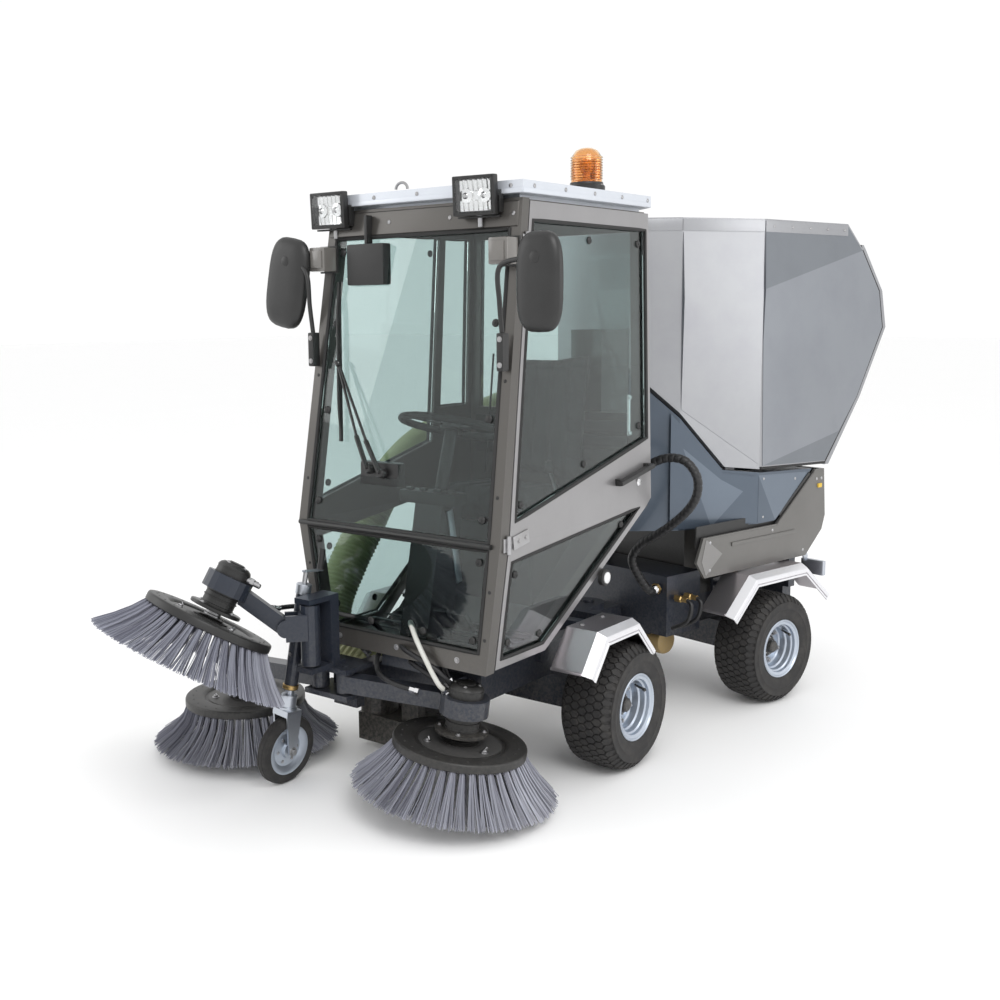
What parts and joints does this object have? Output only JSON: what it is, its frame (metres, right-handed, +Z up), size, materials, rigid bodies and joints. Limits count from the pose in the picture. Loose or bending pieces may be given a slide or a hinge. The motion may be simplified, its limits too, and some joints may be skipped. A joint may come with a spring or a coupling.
{
  "type": "articulated compact road sweeper",
  "caption": "Compact articulated road sweeper: glazed cab with disc brushes and a suction mouth in front, hinged to a rear module with a tipping hopper.",
  "frame": {"origin": "on the ground, in the middle of the overall box, as posed with the rear module turned 12.4 degrees", "axes": "-Y is forward for the cab module, +X is to the driver's left, +Z up"},
  "size_m": [1.8816, 3.5464, 2.1928],
  "materials": {
    "cab_grey": "satin",
    "panel_grey": "satin",
    "warm_grey": "satin",
    "roof_white": "gloss",
    "silver": "satin",
    "slate_blue": "satin",
    "navy": "satin",
    "black": "matte",
    "rubber_black": "matte",
    "galvanised": "satin",
    "chrome": "polished",
    "bristle": "matte",
    "hose": "satin",
    "hose_black": "matte",
    "amber": "gloss",
    "glass": "clear",
    "gold": "satin",
    "fabric_black": "matte"
  },
  "bodies": {
    "cab_module": {"cab_frame": "cab_grey", "right_upper_glass": "glass", "right_rear_glass": "glass", "right_lower_glass": "glass", "upper_windshield": "glass", "lower_windshield": "glass", "rear_window": "glass", "cab_roof": "roof_white", "cab_floor": "black", "seat_cushion": "fabric_black", "seat_back": "fabric_black", "beacon": "amber", "left_mirror": "black", "right_mirror": "black", "front_frame": "navy", "front_axle": "navy", "front_left_fender": "silver", "front_right_fender": "silver", "sweeper_carrier": "navy", "suction_mouth": "black", "suction_hose": "hose", "wrapped_hose": "hose_black"},
    "rear_module": {"rear_axle": "navy", "rear_left_fender": "silver", "rear_right_fender": "silver", "rear_frame": "navy", "engine_housing": "slate_blue", "engine": "black", "side_apron": "warm_grey", "inlet_duct": "black"},
    "left_door_body": {"left_door": "panel_grey", "left_door_upper_glass": "glass", "left_door_lower_glass": "glass"},
    "steering_wheel_body": {"steering_wheel": "black"},
    "front_left_wheel": {"front_left_tyre": "rubber_black", "front_left_rim": "galvanised"},
    "front_right_wheel": {"front_right_tyre": "rubber_black", "front_right_rim": "galvanised"},
    "rear_left_wheel": {"rear_left_tyre": "rubber_black", "rear_left_rim": "galvanised"},
    "rear_right_wheel": {"rear_right_tyre": "rubber_black", "rear_right_rim": "galvanised"},
    "hopper_body": {"hopper": "silver"},
    "hopper_door_body": {"hopper_door": "silver"},
    "left_arm": {"left_brush_arm": "navy", "left_brush_motor": "black"},
    "left_spinner": {"left_brush": "bristle"},
    "right_arm": {"right_brush_arm": "navy", "right_brush_motor": "black"},
    "right_spinner": {"right_brush": "bristle"},
    "third_post": {"third_swing_post": "navy"},
    "third_boom": {"third_brush_boom": "navy", "third_brush_motor": "black"},
    "third_spinner": {"third_brush": "bristle"},
    "caster_swivel_body": {"caster_fork": "galvanised"},
    "caster_roller": {"caster_wheel": "rubber_black"},
    "steering_cylinder_body": {"steering_cylinder": "gold"},
    "steering_rod_body": {"steering_rod": "chrome"},
    "tip_cylinder_body": {"tip_cylinder": "gold"},
    "tip_rod_body": {"tip_rod": "chrome"}
  },
  "joints": [
    {"name": "articulation", "type": "hinge", "parent": "cab_module", "child": "rear_module", "pos_m": [0.19123, 0.24957, 0.365], "axis": [0, 0, 1], "range_deg": [-25.6, 50.4], "deforming": ["suction_hose", "wrapped_hose"]},
    {"name": "front_left_roll", "type": "hinge", "parent": "cab_module", "child": "front_left_wheel", "pos_m": [0.64273, -0.29303, 0.229], "axis": [1, 0, 0], "continuous": true},
    {"name": "front_right_roll", "type": "hinge", "parent": "cab_module", "child": "front_right_wheel", "pos_m": [-0.26027, -0.29303, 0.229], "axis": [1, 0, 0], "continuous": true},
    {"name": "rear_left_roll", "type": "hinge", "parent": "rear_module", "child": "rear_left_wheel", "pos_m": [0.75997, 0.73374, 0.229], "axis": [0.9767, -0.2147, 0], "continuous": true},
    {"name": "rear_right_roll", "type": "hinge", "parent": "rear_module", "child": "rear_right_wheel", "pos_m": [-0.12197, 0.92764, 0.229], "axis": [0.9767, -0.2147, 0], "continuous": true},
    {"name": "left_door_hinge", "type": "hinge", "parent": "cab_module", "child": "left_door_body", "pos_m": [0.63643, -0.92463, 0.94], "axis": [0.0265, -0.1494, -0.9884], "range_deg": [0, 75]},
    {"name": "steering_wheel_turn", "type": "hinge", "parent": "cab_module", "child": "steering_wheel_body", "pos_m": [0.19123, -0.65303, 1.225], "axis": [0, 0.2873, 0.9578], "continuous": true},
    {"name": "hopper_tip", "type": "hinge", "parent": "rear_module", "child": "hopper_body", "pos_m": [0.40704, 1.23113, 0.945], "axis": [-0.9767, 0.2147, 0], "range_deg": [0, 48]},
    {"name": "hopper_door_hinge", "type": "hinge", "parent": "hopper_body", "child": "hopper_door_body", "pos_m": [0.45943, 1.46943, 1.9], "axis": [0.9767, -0.2147, 0], "range_deg": [0, 70]},
    {"name": "left_arm_swing", "type": "hinge", "parent": "cab_module", "child": "left_arm", "pos_m": [0.00123, -1.02303, 0.372], "axis": [0, 0, 1], "range_deg": [-20, 3]},
    {"name": "left_brush_spin", "type": "hinge", "parent": "left_arm", "child": "left_spinner", "pos_m": [0.42923, -0.93003, 0.232], "axis": [0.1022, 0.0811, 0.9915], "continuous": true},
    {"name": "right_arm_swing", "type": "hinge", "parent": "cab_module", "child": "right_arm", "pos_m": [-0.11877, -1.02303, 0.372], "axis": [0, 0, 1], "range_deg": [-8, 0]},
    {"name": "right_brush_spin", "type": "hinge", "parent": "right_arm", "child": "right_spinner", "pos_m": [-0.57877, -0.96603, 0.206], "axis": [0, 0, 1], "continuous": true},
    {"name": "third_swing", "type": "hinge", "parent": "cab_module", "child": "third_post", "pos_m": [-0.05877, -1.12703, 0.55], "axis": [0, 0, 1], "range_deg": [0, 45]},
    {"name": "third_raise", "type": "hinge", "parent": "third_post", "child": "third_boom", "pos_m": [-0.11448, -1.1899, 0.585], "axis": [-0.7484, 0.6632, 0], "range_deg": [0, 30]},
    {"name": "third_brush_spin", "type": "hinge", "parent": "third_boom", "child": "third_spinner", "pos_m": [-0.27677, -1.37303, 0.632], "axis": [0.2001, 0.4501, 0.8703], "continuous": true},
    {"name": "caster_swivel", "type": "hinge", "parent": "cab_module", "child": "caster_swivel_body", "pos_m": [-0.17092, -1.13725, 0.27424], "axis": [0.105, 0.1177, 0.9875], "range_deg": [-6, 6]},
    {"name": "caster_roll", "type": "hinge", "parent": "caster_swivel_body", "child": "caster_roller", "pos_m": [-0.18677, -1.13703, 0.124], "axis": [0.9945, -0.0062, -0.105], "continuous": true},
    {"name": "steering_cylinder_turn", "type": "hinge", "parent": "cab_module", "child": "steering_cylinder_body", "pos_m": [0.02123, -0.00303, 0.25], "axis": [0, 0, 1], "range_deg": [-10.56, 20.6]},
    {"name": "steering_rod_slide", "type": "slide", "parent": "steering_cylinder_body", "child": "steering_rod_body", "axis": [0.1354, 0.9908, 0], "range_m": [-0.1443, 0.0738]},
    {"name": "tip_cylinder_turn", "type": "hinge", "parent": "rear_module", "child": "tip_cylinder_body", "pos_m": [0.61093, 0.76138, 0.45], "axis": [-0.9767, 0.2147, 0], "range_deg": [0, 14.79]},
    {"name": "tip_rod_slide", "type": "slide", "parent": "tip_cylinder_body", "child": "tip_rod_body", "axis": [-0.0438, -0.1992, 0.979], "range_m": [0, 0.3939]}
  ],
  "couplings": [
    {"joint": "steering_cylinder_turn", "follows": "articulation", "ratio": 0.4048},
    {"joint": "steering_rod_slide", "follows": "articulation", "m_per_rad": -0.1629},
    {"joint": "tip_cylinder_turn", "follows": "hopper_tip", "ratio": 0.304},
    {"joint": "tip_rod_slide", "follows": "hopper_tip", "m_per_rad": 0.469}
  ]
}
